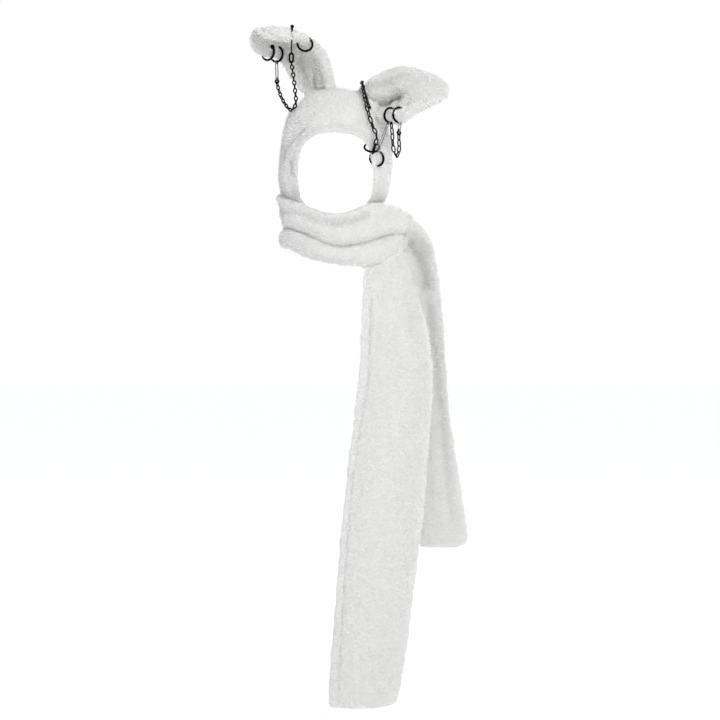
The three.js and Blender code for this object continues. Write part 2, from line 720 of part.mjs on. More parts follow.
// Chains: equal links along a route that begins and ends round two wires
function chainSolid(start, startWire, end, endWire, between, pitch, width, firstFlat, lastFlat) {
  const overlap = chainWire * 0.25;
  const offset = (w) => w / 2 + wireGap + overlap / 2;
  const routeOf = (a, b) => new THREE.CatmullRomCurve3([a, ...between, b], false, 'centripetal');
  const first = between[0].clone().sub(start).normalize();
  const last = between[between.length - 1].clone().sub(end).normalize();
  const curve = routeOf(start.clone().addScaledVector(first, -offset(startWire)),
    end.clone().addScaledVector(last, -offset(endWire)));
  const samples = curve.getSpacedPoints(400);
  const count = Math.round(curve.getLength() / pitch);
  const jointsFor = (chord) => {
    const joints = [samples[0]];
    let k = 1;
    for (let i = 0; i < count; i += 1) {
      const from = joints[i];
      while (k < samples.length - 1 && samples[k].distanceTo(from) < chord) k += 1;
      const a = samples[k - 1];
      const b = samples[k];
      let low = 0;
      let high = k === samples.length - 1 ? count * count : 1;
      for (let n = 0; n < 30; n += 1) {
        const mid = (low + high) / 2;
        if (a.clone().lerp(b, mid).distanceTo(from) < chord) low = mid;
        else high = mid;
      }
      joints.push(a.clone().lerp(b, low));
    }
    return joints;
  };
  let low = pitch * 0.6;
  let high = pitch * 1.4;
  const target = samples[samples.length - 1];
  const ending = target.clone().sub(samples[samples.length - 2]);
  for (let n = 0; n < 30; n += 1) {
    const mid = (low + high) / 2;
    const tip = jointsFor(mid)[count];
    if (tip.clone().sub(target).dot(ending) < 0 || tip.distanceTo(target) > pitch * count * 0.5) low = mid;
    else high = mid;
  }
  const joints = jointsFor((low + high) / 2);
  joints[joints.length - 1] = target;
  const flats = [];
  let flat = firstFlat.clone();
  for (let i = 0; i < count; i += 1) {
    const along = joints[i + 1].clone().sub(joints[i]).normalize();
    flat = flat.clone().addScaledVector(along, -flat.dot(along)).normalize();
    flats.push({ along, flat: flat.clone() });
    flat = flat.clone().cross(along).normalize();
  }
  const tail = flats[count - 1];
  const wanted = lastFlat.clone().addScaledVector(tail.along, -lastFlat.dot(tail.along)).normalize();
  let turn = Math.atan2(tail.flat.clone().cross(wanted).dot(tail.along), tail.flat.dot(wanted));
  if (turn > Math.PI / 2) turn -= Math.PI;
  if (turn < -Math.PI / 2) turn += Math.PI;
  const links = flats.map(({ along, flat: plain }, i) => {
    const chord = joints[i].distanceTo(joints[i + 1]);
    const turned = plain.clone().applyAxisAngle(along, (turn * i) / Math.max(count - 1, 1));
    return loopSolid(joints[i].clone().lerp(joints[i + 1], 0.5), along, turned,
      chord / 2 + (chainWire - overlap) / 2, (width - chainWire) / 2, chainWire, 10, 5);
  });
  return unite(links);
}

// A place off the hood's front face, by shares of its half width and height
function overHood(share, drop, clear) {
  const x = share * halfWide;
  const z = hoodTop - drop * hoodHeight;
  return vec(x, hoodFrontY(x, z) - clear, z);
}

// Left ear: a ball pin through the front rim, a clip under it, a chain that
// loops to the safety pin under the middle hoop
const across = vec(1, 0, 0);
const facing = vec(0, -1, 0);
const down = vec(0, 0, -1);
const hang = (from, drop, x, y, z) => from.clone().addScaledVector(vec(x, y, z), drop);
const rimPlace = earPoint(earLeft, 0.655, 0.9);
const ballPinTop = rimPlace.clone().add(vec(0.4, -1, 1.1 * earLeftWall));
const ballPinFoot = rimPlace.clone().add(vec(-1.2, 6, -2.9 * earLeftWall));
const eyeRadius = (clipWire + pinWire) / 2 + 1.5 * wireGap;
const ballPinEye = ballPinFoot.clone().add(vec(0, 0, -eyeRadius));
const clipLeft = linkBetween(ballPinEye.clone().add(vec(0, 0, -eyeRadius)),
  ballPinEye.clone().add(vec(0, 0, -eyeRadius - clipLength + clipWire)), pinWire, chainWire,
  clipWire, clipWidth, facing);

const leftHoop = hoops.hoop_left_ear_middle;
const leftHoopFoot = leftHoop.wireAt(down);
const pinLeft = linkBetween(leftHoopFoot, hang(leftHoopFoot, pinLeftLength, 0.02, 0, -1),
  hoopWire, chainWire, pinWire, pinGauge, leftHoop.runAt(down));
const ringLeft = linkBetween(pinLeft.end.clone(), pinLeft.end.clone().add(vec(0, 0, -ringSpan * 0.25)),
  pinWire, chainWire, clipWire, ringSpan, pinLeft.wide);

const chainLeft = chainSolid(clipLeft.end, clipWire, ringLeft.end, clipWire, [
  hang(clipLeft.end, leftLoopDrop, 0.03, 0.01, -0.2),
  hang(clipLeft.end, leftLoopDrop, 0.08, 0.04, -0.6),
  hang(clipLeft.end, leftLoopDrop, 0.09, 0.08, -0.88),
  hang(clipLeft.end, leftLoopDrop, 0, 0.13, -1),
  hang(ringLeft.end, leftLoopDrop, 0.12, -0.12, -0.36),
  hang(ringLeft.end, leftLoopDrop, 0.03, -0.03, -0.12),
], smallLinkPitch, smallLinkWidth, clipLeft.wide, ringLeft.wide);

// Right side: a dark safety pin at the ear's root carries the long chain to a
// clip on the upper hem hoop, and a long safety pin joins that hoop to the ear
const rootPin = linkBetween(
  earPoint(earRight, 0.03, -1).add(vec(-1, -1.5 * earRightWall, 0.5 * earRightWall)),
  overHood(0.58, 0.17, 2),
  chainWire, chainWire, pinWire, pinGauge * 0.8, vec(1, -0.6, 0));
const hemHoop = hoops.hoop_hem_upper;
const innerHoop = hoops.hoop_right_ear_inner;
const pinSide = vec(-0.45, 0, -1);
const innerHoopFoot = innerHoop.wireAt(pinSide);
const longPinFoot = hemHoop.wireAt(vec(0.55, 0, -0.9));
const longPin = linkBetween(innerHoopFoot, longPinFoot, hoopWire, hoopWire, pinWire, pinGauge,
  innerHoop.runAt(pinSide));
const clipSide = vec(0.05, 0, -1);
const clipPlace = hemHoop.wireAt(clipSide);
const clipHem = linkBetween(hang(clipPlace, clipLength - clipWire, 0.28, -0.3, 1),
  clipPlace, chainWire, hoopWire, clipWire, clipWidth, hemHoop.runAt(clipSide));
const chainLong = chainSolid(rootPin.start, pinWire, clipHem.start, clipWire, [
  hang(rootPin.start, longChainLead, 0.07, -1, -0.43),
  overHood(0.50, 0.115, 13),
  overHood(0.56, 0.225, 10),
  overHood(0.63, 0.315, 10),
  clipHem.start.clone().addScaledVector(clipHem.along, -1.1 * longLinkPitch),
], longLinkPitch, longLinkWidth, rootPin.wide, clipHem.wide);

const outerHoop = hoops.hoop_right_ear_outer;
const outerSide = vec(0.1, 0, -1);
const outerHoopFoot = outerHoop.wireAt(outerSide);
const pinRight = linkBetween(outerHoopFoot, hang(outerHoopFoot, pinRightLength, -0.12, 0.08, -1),
  hoopWire, clipWire, pinWire, pinGauge, outerHoop.runAt(outerSide));
const ringRight = linkBetween(pinRight.end.clone(), pinRight.end.clone().add(vec(0, 0, -ringSpan * 0.25)),
  pinWire, chainWire, clipWire, ringSpan, pinRight.wide);
const loopSide = vec(0.05, 0, -1);
const chainLoopStart = innerHoop.wireAt(loopSide);
const chainRight = chainSolid(chainLoopStart, hoopWire, ringRight.end, clipWire, [
  hang(chainLoopStart, rightLoopDrop, 0.03, -0.04, -0.22),
  hang(chainLoopStart, rightLoopDrop, 0.07, -0.05, -0.76),
  hang(chainLoopStart, rightLoopDrop, 0.16, 0, -1),
  hang(ringRight.end, rightLoopDrop, 0.01, 0.04, -0.45),
  hang(ringRight.end, rightLoopDrop, 0, 0.02, -0.16),
], loopLinkPitch, longLinkWidth, innerHoop.runAt(loopSide), ringRight.wide);

const group = new THREE.Group();

function addPart(name, solid, material) {
  const mesh = new THREE.Mesh(geometryFromSolid(solid), new THREE.MeshStandardMaterial(material));
  mesh.name = name;
  group.add(mesh);
}

const cutAll = (solid, cuts) => cuts.reduce((left, cut) => left.subtract(cut), solid);

softCuts = [
  ...Object.values(hoops).map(hoopChannel),
  ballSolid(ballPlace, hoopBall + 2 * wireGap),
  rodSolid(ballPinTop, ballPinFoot, pinWire + 2.4 * wireGap),
  ballSolid(ballPinTop, hoopBall + 2 * wireGap),
  linkSolid(rootPin, 10, 5, 2.6 * wireGap),
  linkSolid(pinLeft, 10, 5, 2.6 * wireGap),
  linkSolid(longPin, 10, 5, 2.6 * wireGap),
  linkSolid(clipHem, 10, 5, 2.6 * wireGap),
];

const hoodSeat = hoodForm(seatGap, 15, 32, 0);
const hood = cutAll(hoodSolid(), softCuts);
const earLeftSolid = cutAll(earSolid(earLeft, 12, 5).subtract(hoodSeat), softCuts);
const earRightSolid = cutAll(earSolid(earRight, 11, 5).subtract(hoodSeat), softCuts);
const upperTurn = upperTurnForm(0).subtract(hoodSeat);
const upperTurnSeat = upperTurnForm(seatGap);
const lowerRoll = lowerRollForm(0);
const turnSeat = upperTurnSeat.add(lowerRollForm(seatGap)).add(turnCore());
const tailFront = tailSolid(tailFrontTop, tailFrontRows, tailFrontLength, tailFrontWidth,
  tailFrontSway, 0);
const tailBackTop = vec(boreRadius + 0.75 * wrapThickness, -tailReach + tailSpacing,
  -wrapDrop + 0.1 * wrapHeight);
const tailBack = tailSolid(tailBackTop, tailBackRows, tailBackLength, tailBackWidth,
  tailBackSway, 0);

addPart('hood', hood, plushWhite);
addPart('ear_left', earLeftSolid, plushWhite);
addPart('ear_right', earRightSolid, plushWhite);
addPart('scarf_wrap_upper', upperTurn, plushWhite);
addPart('scarf_wrap_lower', lowerRoll, plushWhite);
addPart('scarf_tail_front', tailFront.subtract(turnSeat), plushWhite);
addPart('scarf_tail_back', tailBack.subtract(turnSeat), plushWhite);
for (const [name, hoop] of Object.entries(hoops)) {
  let solid = hoopSolid(hoop);
  if (name === 'hoop_left_ear_tip') solid = solid.add(ballSolid(ballPlace, hoopBall));
  addPart(name, solid, steelBlack);
}

addPart('pin_left_ear', unite([
  ballSolid(ballPinTop, hoopBall),
  rodSolid(ballPinTop, ballPinFoot, pinWire),
  loopSolid(ballPinEye, down, across, eyeRadius, eyeRadius, pinWire, 10, 5),
]), steelBlack);
addPart('clip_left_ear', linkSolid(clipLeft), steelBlack);
addPart('safety_pin_left_ear', linkSolid(pinLeft), steelSilver);
addPart('ring_left_ear', linkSolid(ringLeft), steelBlack);
addPart('chain_left_ear', chainLeft, steelBlack);
addPart('safety_pin_ear_root', linkSolid(rootPin), steelBlack);
addPart('safety_pin_hem', linkSolid(longPin), steelSilver);
addPart('clip_hem', linkSolid(clipHem), steelBlack);
addPart('chain_hood', chainLong, steelBlack);
addPart('safety_pin_right_ear', linkSolid(pinRight), steelSilver);
addPart('ring_right_ear', linkSolid(ringRight), steelBlack);
addPart('chain_right_ear', chainRight, steelBlack);

export default group;
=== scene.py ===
# Animal hood scarf: a white plush hood with two floppy ears, a scarf that winds
# round the neck and hangs in two ends, and black hoops, safety pins and chains.
# Lengths are in metres, in the frame of the solids: +Z up, -Y out of the face
# opening, origin inside the top of the crown.
import math

import bmesh
import bpy
import numpy as np
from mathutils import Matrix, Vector, noise
from mathutils.bvhtree import BVHTree


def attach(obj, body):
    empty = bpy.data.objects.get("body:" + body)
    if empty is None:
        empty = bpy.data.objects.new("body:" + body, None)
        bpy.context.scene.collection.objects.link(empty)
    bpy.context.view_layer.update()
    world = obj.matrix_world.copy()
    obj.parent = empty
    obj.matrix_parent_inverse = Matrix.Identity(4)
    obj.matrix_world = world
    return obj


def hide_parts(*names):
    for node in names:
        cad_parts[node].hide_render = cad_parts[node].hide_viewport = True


MM = 0.001

# Camera
EYE_HEIGHT = -0.44385
EYE_SIDE = 0.0396
EYE_DISTANCE = 4.455
LENS_MM = 135
SENSOR_MM = 36

# Corners of a solid that lie closer than this are one corner
WELD_DISTANCE = 0.005 * MM

# Cloth
CLOTH_VOXEL = 3.0 * MM
CLOTH_ROUNDING = 2
SOFTENING_ROUNDS = 5
SOFTENING_FACTOR = 0.5
SWELL_SIZE = 42 * MM
SWELL_DEPTH = 1.4 * MM
DIMPLE_SIZE = 13 * MM
DIMPLE_DEPTH = 0.6 * MM
# The cloth lies this much inside its solid, and the pile fills the rest
CLOTH_INSET = 1.7 * MM
# Next to another soft piece, within this reach, the cloth swells to meet it
CONTACT_REACH = 9 * MM
CONTACT_SWELL = 1.2 * MM
# Presses and pulls fade out over this many widths
FADE_WIDTHS = 3

# Pile
TUFT_SPACING = 1.65 * MM
TUFT_TRIES = 3.0  # for each square of the spacing
TUFT_LENGTH = 4.2 * MM
TUFT_SHORTEST = 0.7
TUFT_LONGEST = 1.25
TUFT_WIDTH = 2.0 * MM
TUFT_SUNK = 0.25  # share of a tuft that sits in the cloth
TUFT_CLUMP = 5 * MM
TUFT_NAP = 1.7  # how far the tufts of a clump lean together
TUFT_SCATTER = 0.45  # how far each leans its own way
TUFT_SEED = 7
# The clumps lie in short wavy rows, wider across the cloth than along it
CURL_ROWS = (0.62, 0.9, 1.45)

# Sizes in the materials
PATCH_SIZE = 9 * MM
FIBRE_SIZE = 1.6 * MM
FIBRE_DEPTH = 1.2 * MM
WEAR_SIZE = 3.5 * MM
WEAR_DEPTH = 0.1 * MM

# Wire
WIRE_ROUNDING = 1
WIRE_SIZES = {
    "hoop": 2.5 * MM,
    "pin": 1.3 * MM,
    "safety": 1.3 * MM,
    "clip": 2.2 * MM,
    "ring": 2.2 * MM,
    "chain": 1.5 * MM,
}
# Rounding a wire of few sides draws it in. It is plumped up again by this share
# of its width
BLACK_PLUMPING = 0.36
SILVER_PLUMPING = 0.26

# Safety pins: cap and coil as shares of the pin's width
CAP_LENGTH = 0.85
CAP_THICKNESS = 0.42
CAP_ROUNDNESS = 0.7  # 1 is a ball, less is squarer
CAP_SEGMENTS = 20
CAP_RINGS = 12
COIL_TURNS = 2.5
COIL_RADIUS = 0.26
COIL_RISE = 1.15  # from turn to turn, in wire widths
COIL_STEPS = 14  # for each turn
SEATING = 0.9  # how far in from the pin's ends cap and coil sit

# Stage
FLOOR_HEIGHT = -1.07
FLOOR_RADIUS = 60.0
FLOOR_GLOW = 0.08
# The sky is cooler and dimmer on the left, and white from just left of the middle
SKY_LEFT = (0.58, 0.62, 0.68, 1)
SKY_WHITE = (0.97, 0.97, 0.97, 1)
SKY_WHITE_FROM = 0.42
SKY_STRENGTH = 1.03
MIDDLE = (0.04, 0, -0.4)
LAMPS = [
    # name, place, what it faces, size, power in watts
    ("key", (0.9, -3.4, 2.2), MIDDLE, 1.4, 76),
    ("front", (0.2, -4.6, -0.7), MIDDLE, 1.6, 24),
    ("low", (0.9, -3.0, -1.0), (0.12, 0, -0.75), 1.0, 50),
    # Inside the face opening, where it lifts the lining out of the dark
    ("lining", (0.0, -0.01, -0.135), (0.0, 0.2, -0.135), 0.1, 0.42),
]

PLUSH_NODES = {
    # node: tuft length there, as a share of the usual one
    "hood": 1.0,
    "ear_left": 1.2,
    "ear_right": 1.2,
    "scarf_wrap_upper": 1.0,
    "scarf_wrap_lower": 1.0,
    "scarf_tail_front": 1.0,
    "scarf_tail_back": 1.0,
}
SILVER_NODES = ("safety_pin_left_ear", "safety_pin_hem", "safety_pin_right_ear")
BLACK_NODES = (
    "hoop_left_ear_top",
    "hoop_left_ear_middle",
    "hoop_left_ear_tip",
    "hoop_hem_upper",
    "hoop_hem_lower",
    "hoop_right_ear_inner",
    "hoop_right_ear_outer",
    "pin_left_ear",
    "clip_left_ear",
    "ring_left_ear",
    "chain_left_ear",
    "safety_pin_ear_root",
    "clip_hem",
    "chain_hood",
    "ring_right_ear",
    "chain_right_ear",
)

# A press moves the cloth away from the front, by most at its line. The front of
# a roll moves alone. On the thin pieces the back follows by this share
BACK_FOLLOWS = {
    "hood": 1.0,
    "ear_left": 0.5,
    "ear_right": 0.85,
    "scarf_tail_front": 1.0,
    "scarf_tail_back": 1.0,
}
# On the hood only the cloth in front of this depth is pressed
FRONT_HALF = {"hood": -30 * MM}

# Creases and swells in the plush, as seen from the front: node, depth (below
# zero swells out), width, then the points that it runs through (x, z), all in mm
PRESSES = [
    # Dent in the left front band, and the step from the band to the hood's side
    ("hood", 7, 3.5, [(-73, -142), (-72, -130), (-74, -121)]),
    ("hood", 8, 5, [(-52, -70), (-66, -84), (-80, -100), (-88, -116)]),
    ("hood", -5, 10, [(-62, -104), (-76, -122), (-82, -155)]),
    # Rolled hem of the face opening and the groove behind it
    ("hood", -2.5, 5, [(-50, -196), (-58, -170), (-59, -130), (-49, -92), (-26, -80),
                       (0, -78), (26, -80), (46, -94), (59, -128), (57, -190)]),
    ("hood", 2.5, 4.5, [(-50, -190), (-69, -160), (-70, -128), (-60, -88), (-30, -68),
                        (0, -64), (30, -68), (54, -86), (70, -122), (68, -170)]),
    # Crease between the left ear and the crown, folds inside that ear, and the
    # pinch where the ball pin goes through
    ("ear_left", 6, 4, [(-29, -10), (-35, 4), (-37, 16)]),
    ("ear_left", 21, 12, [(-46, 6), (-53, 30), (-64, 50)]),
    ("ear_left", -5, 4, [(-38, 2), (-42, 20), (-47, 36)]),
    ("ear_left", 6, 3.5, [(-33, 2), (-35, 20), (-38, 40)]),
    ("ear_left", 5, 4, [(-134, 92), (-112, 88), (-88, 76), (-66, 66)]),
    ("ear_left", 8, 3, [(-71, 92), (-71, 66)]),
    # Hollow of the right ear, its lower lip, and the gathers at its hoops
    ("ear_right", 24, 8, [(54, -28), (74, -26), (92, -20), (104, -12)]),
    ("ear_right", -9, 9, [(60, -8), (82, -5), (102, 2)]),
    ("ear_right", -4, 14, [(62, 14), (88, 22), (120, 16)]),
    ("ear_right", -7, 5, [(96, -34), (112, -39)]),
    ("ear_right", 8, 3, [(92, -14), (87, -30)]),
    ("ear_right", 8, 3, [(107, -14), (101, -30)]),
    ("ear_right", 6, 3, [(121, -18), (116, -34)]),
    ("ear_right", -7, 4, [(94, -31), (99, -37)]),
    ("ear_right", -7, 4, [(108, -30), (113, -36)]),
    # Folds of the scarf's turns, and the upper turn's end over the shoulder
    ("scarf_wrap_upper", 9, 7.5, [(-88, -200), (-50, -211), (-26, -221), (0, -225),
                                  (26, -220), (50, -210)]),
    ("scarf_wrap_upper", -7, 11, [(116, -212), (112, -226), (104, -238)]),
    # The lower roll turns under towards its foot
    ("scarf_wrap_lower", 10, 13, [(-66, -280), (-17, -294), (24, -292)]),
    # The front end's seam and long folds
    ("scarf_tail_front", 2.5, 2, [(58, -345), (53, -470), (27, -640), (14, -800), (3, -990)]),
    ("scarf_tail_front", 4, 10, [(103, -290), (111, -340), (120, -400)]),
    ("scarf_tail_front", 2, 12, [(82, -300), (88, -380), (90, -470)]),
    # The back end's top is the turn's cloth laid over the shoulder: its edge
    # stands over the part that hangs in shade
    ("scarf_tail_back", -16, 11, [(118, -214), (138, -232), (158, -256)]),
    ("scarf_tail_back", 20, 11, [(120, -256), (136, -280), (146, -320)]),
    ("scarf_tail_back", 4, 8, [(146, -330), (158, -420), (166, -500), (178, -600),
                               (186, -700)]),
]

# The same as seen from the back
BACK_PRESSES = [
    # Seam from the crown down to the nape, with a fold on each side
    ("hood", 3, 3, [(0, 10), (0, -200)]),
    ("hood", 4, 8, [(-46, -150), (-30, -196)]),
    ("hood", 4, 8, [(44, -146), (30, -196)]),
    ("scarf_wrap_upper", 6, 6, [(-90, -196), (-40, -188), (10, -184), (70, -190)]),
    ("scarf_tail_front", 4, 7, [(70, -320), (60, -460), (40, -640), (28, -860)]),
    ("scarf_tail_back", 5, 8, [(130, -330), (140, -460), (150, -600), (160, -700)]),
]

# Places where the cloth is drawn to one side, through its whole thickness:
# node, shift (x, y, z), reach and middle (x, z), all in mm
PULLS = [
    # The right ear's lower lip sags where the hoops go through it
    ("ear_right", (0, -1, -8), 14, (70, -42)),
    ("ear_right", (0, -2, -8), 14, (86, -46)),
    ("ear_right", (0, -3, -9), 13, (102, -48)),
    ("ear_right", (0, -3, -5), 10, (114, -46)),
    # Its tip, and the fold and the narrow foot of the left ear
    ("ear_right", (6, 0, -3), 16, (176, -2)),
    ("ear_left", (0, 0, 8), 16, (-134, 82)),
    ("ear_left", (5, 0, 0), 12, (-82, 32)),
    ("ear_left", (8, 0, 0), 13, (-74, 11)),
    ("ear_left", (7, 0, 0), 10, (-60, -8)),
    # The turns' left ends: the upper one's corner stands out over a notch
    ("scarf_wrap_upper", (-5, 0, 1), 8, (-94, -176)),
    ("scarf_wrap_upper", (5, 0, 0), 8, (-94, -214)),
    ("scarf_wrap_lower", (5, 0, -2), 7, (-92, -228)),
    # The upper turn runs on over the shoulder into the back end
    ("scarf_wrap_upper", (9, 3, -8), 15, (110, -222)),
    ("scarf_tail_back", (-9, -2, 2), 12, (117, -234)),
    ("scarf_wrap_lower", (3, 0, 6), 9, (102, -238)),
    # The ends' foot edges
    ("scarf_tail_front", (0, 0, -6), 45, (-20, -1000)),
    ("scarf_tail_front", (0, 0, -6), 45, (50, -1000)),
    ("scarf_tail_back", (2, 0, -6), 45, (150, -750)),
    ("scarf_tail_back", (4, 0, -6), 45, (215, -750)),
]


def camera():
    data = bpy.data.cameras.new("camera")
    data.lens = LENS_MM
    data.sensor_width = SENSOR_MM
    view = bpy.data.objects.new("camera", data)
    view.location = (EYE_SIDE, -EYE_DISTANCE, EYE_HEIGHT)
    view.rotation_euler = (math.radians(90), 0, 0)
    bpy.context.scene.collection.objects.link(view)
    bpy.context.scene.camera = view


camera()
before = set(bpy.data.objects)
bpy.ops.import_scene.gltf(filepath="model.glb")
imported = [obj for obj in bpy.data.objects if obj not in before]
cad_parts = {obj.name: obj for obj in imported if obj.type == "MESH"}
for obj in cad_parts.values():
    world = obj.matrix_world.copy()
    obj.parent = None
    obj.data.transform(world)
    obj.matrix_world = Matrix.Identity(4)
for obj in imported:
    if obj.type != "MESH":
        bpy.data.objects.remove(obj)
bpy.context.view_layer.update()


# Materials
def linear(hex_colour):
    parts = [int(hex_colour[i:i + 2], 16) / 255 for i in (1, 3, 5)]
    return [c / 12.92 if c <= 0.04045 else ((c + 0.055) / 1.055) ** 2.4 for c in parts] + [1.0]


def add_node(tree, kind, settings=None, links=None):
    node = tree.nodes.new(kind)
    for name, value in (settings or {}).items():
        if isinstance(name, str) and hasattr(node, name):
            setattr(node, name, value)
        else:
            node.inputs[name].default_value = value
    for name, source in (links or {}).items():
        tree.links.new(source, node.inputs[name])
    return node


def new_material(name):
    material = bpy.data.materials.new(name)
    material.use_nodes = True
    tree = material.node_tree
    shader = tree.nodes["Principled BSDF"]
    place = tree.nodes.new("ShaderNodeTexCoord").outputs["Object"]
    return material, tree, shader, place


def ramp(tree, source, low, high, low_at=0.0, high_at=1.0):
    node = add_node(tree, "ShaderNodeValToRGB", links={"Fac": source})
    node.color_ramp.elements[0].color = low
    node.color_ramp.elements[0].position = low_at
    node.color_ramp.elements[1].color = high
    node.color_ramp.elements[1].position = high_at
    return node.outputs["Color"]


def add_bump(tree, shader, texture, strength, depth):
    bump = add_node(
        tree,
        "ShaderNodeBump",
        {"Strength": strength, "Distance": depth},
        {"Height": texture.outputs["Fac"]},
    )
    tree.links.new(bump.outputs["Normal"], shader.inputs["Normal"])


def plush_material():
    # Polyester fleece, brushed: matt warm white with a soft sheen at its edges.
    # The tufts' roots are painted grey: painted shade down in the pile
    material, tree, shader, place = new_material("brushed_polyester_plush")
    patches = add_node(
        tree, "ShaderNodeTexNoise", {"Scale": 1 / PATCH_SIZE, "Detail": 3.0}, {"Vector": place}
    )
    tips = ramp(tree, patches.outputs["Fac"], linear("#E8E8E6"), linear("#F5F5F3"), 0.35, 0.65)
    # Painted shade: each tuft runs from a painted grey root up to the white tip colour along
    # its height
    root_shade_mask = add_node(tree, "ShaderNodeAttribute", {"attribute_name": "tip"})
    colour = add_node(
        tree,
        "ShaderNodeMix",
        {"data_type": "RGBA", 6: linear("#B9B9B8")},
        {0: root_shade_mask.outputs["Fac"], 7: tips},
    )
    tree.links.new(colour.outputs[2], shader.inputs["Base Color"])
    fibre = add_node(
        tree, "ShaderNodeTexNoise", {"Scale": 1 / FIBRE_SIZE, "Detail": 4.0}, {"Vector": place}
    )
    add_bump(tree, shader, fibre, 0.6, FIBRE_DEPTH)
    shader.inputs["Roughness"].default_value = 0.92
    shader.inputs["Sheen Weight"].default_value = 0.35
    shader.inputs["Sheen Roughness"].default_value = 0.5
    shader.inputs["Specular IOR Level"].default_value = 0.15
    return material


def steel_material(name, dark, bright, rough_low, rough_high):
    material, tree, shader, place = new_material(name)
    wear = add_node(
        tree, "ShaderNodeTexNoise", {"Scale": 1 / WEAR_SIZE, "Detail": 5.0}, {"Vector": place}
    )
    colour = ramp(tree, wear.outputs["Fac"], linear(dark), linear(bright), 0.35, 0.75)
    tree.links.new(colour, shader.inputs["Base Color"])
    rough = add_node(
        tree,
        "ShaderNodeMapRange",
        {"To Min": rough_low, "To Max": rough_high},
        {"Value": wear.outputs["Fac"]},
    )
    tree.links.new(rough.outputs["Result"], shader.inputs["Roughness"])
    add_bump(tree, shader, wear, 0.15, WEAR_DEPTH)
    shader.inputs["Metallic"].default_value = 1.0
    return material


plush = plush_material()
# Steel wire with a black plated skin: near black, glossy, greyer where it rubs
black_steel = steel_material("black_plated_steel", "#060607", "#141416", 0.25, 0.45)
# Nickel plated steel wire: bright grey with a slight haze
silver_steel = steel_material("nickel_plated_steel", "#5C5E62", "#8E9195", 0.2, 0.36)


def stage_material():
    # Matt studio paper, almost white, with a little light of its own so that the
    # far floor is as white as the sky
    material, _, shader, _ = new_material("studio_paper")
    shader.inputs["Base Color"].default_value = linear("#FCFCFC")
    shader.inputs["Emission Color"].default_value = (1, 1, 1, 1)
    shader.inputs["Emission Strength"].default_value = FLOOR_GLOW
    shader.inputs["Roughness"].default_value = 1.0
    shader.inputs["Specular IOR Level"].default_value = 0.0
    return material


# Mesh helpers
def new_object(name, mesh):
    piece = bpy.data.objects.new(name, mesh)
    bpy.context.scene.collection.objects.link(piece)
    return piece


def finished(form, name):
    """Turn a bmesh into a mesh and free it."""
    mesh = bpy.data.meshes.new(name)
    form.to_mesh(mesh)
    form.free()
    return mesh


def node_copy(node, name):
    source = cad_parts[node]
    form = bmesh.new()
    form.from_mesh(source.data)
    bmesh.ops.remove_doubles(form, verts=form.verts, dist=WELD_DISTANCE)
    return new_object(name, finished(form, name))


def add_rounding(piece, levels):
    rounding = piece.modifiers.new("rounding", "SUBSURF")
    rounding.levels = levels
    rounding.render_levels = levels


def settled(piece):
    """Replace a piece by the plain mesh that its modifiers give."""
    shapes = bpy.context.evaluated_depsgraph_get()
    mesh = bpy.data.meshes.new_from_object(piece.evaluated_get(shapes))
    piece.modifiers.clear()
    old = piece.data
    piece.data = mesh
    bpy.data.meshes.remove(old)
    return piece


def dress(piece, material):
    piece.data.polygons.foreach_set("use_smooth", [True] * len(piece.data.polygons))
    piece.data.materials.clear()
    piece.data.materials.append(material)


def distance_to_line(x, z, line):
    nearest = math.inf
    for (x0, z0), (x1, z1) in zip(line, line[1:]):
        run_x, run_z = x1 - x0, z1 - z0
        share = ((x - x0) * run_x + (z - z0) * run_z) / (run_x ** 2 + run_z ** 2)
        share = min(max(share, 0.0), 1.0)
        nearest = min(nearest, math.hypot(x - x0 - share * run_x, z - z0 - share * run_z))
    return nearest


# Soft forms: the solid's own shape, rounded, with swells, dimples and creases
def soften(piece):
    add_rounding(piece, CLOTH_ROUNDING)
    remesh = piece.modifiers.new("remesh", "REMESH")
    remesh.mode = "VOXEL"
    remesh.voxel_size = CLOTH_VOXEL
    smooth = piece.modifiers.new("smooth", "SMOOTH")
    smooth.factor = SOFTENING_FACTOR
    smooth.iterations = SOFTENING_ROUNDS
    return settled(piece)


def surface_tree(node):
    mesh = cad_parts[node].data
    corners = [vertex.co for vertex in mesh.vertices]
    return BVHTree.FromPolygons(corners, [tuple(face.vertices) for face in mesh.polygons])


surfaces = {node: surface_tree(node) for node in PLUSH_NODES}


def contact(place, node):
    """How close another soft piece is: 1 where they touch, 0 out of reach."""
    nearest = CONTACT_REACH
    for other, tree in surfaces.items():
        if other != node:
            found = tree.find_nearest(place, nearest)
            if found[0] is not None:
                nearest = found[3]
    return 1 - nearest / CONTACT_REACH


def pressed(place, presses):
    """How far a place is pushed away from the front."""
    depth_here = 0.0
    for depth, width, line in presses:
        off = distance_to_line(place.x / MM, place.z / MM, line)
        if off < FADE_WIDTHS * width:
            depth_here += depth * MM * math.exp(-((off / width) ** 2))
    return depth_here


def pulled(place, pulls):
    """How far a place is drawn to one side."""
    shift = Vector((0, 0, 0))
    for by, reach, (x, z) in pulls:
        off = math.hypot(place.x / MM - x, place.z / MM - z)
        if off < FADE_WIDTHS * reach:
            shift += Vector(by) * MM * math.exp(-((off / reach) ** 2))
    return shift


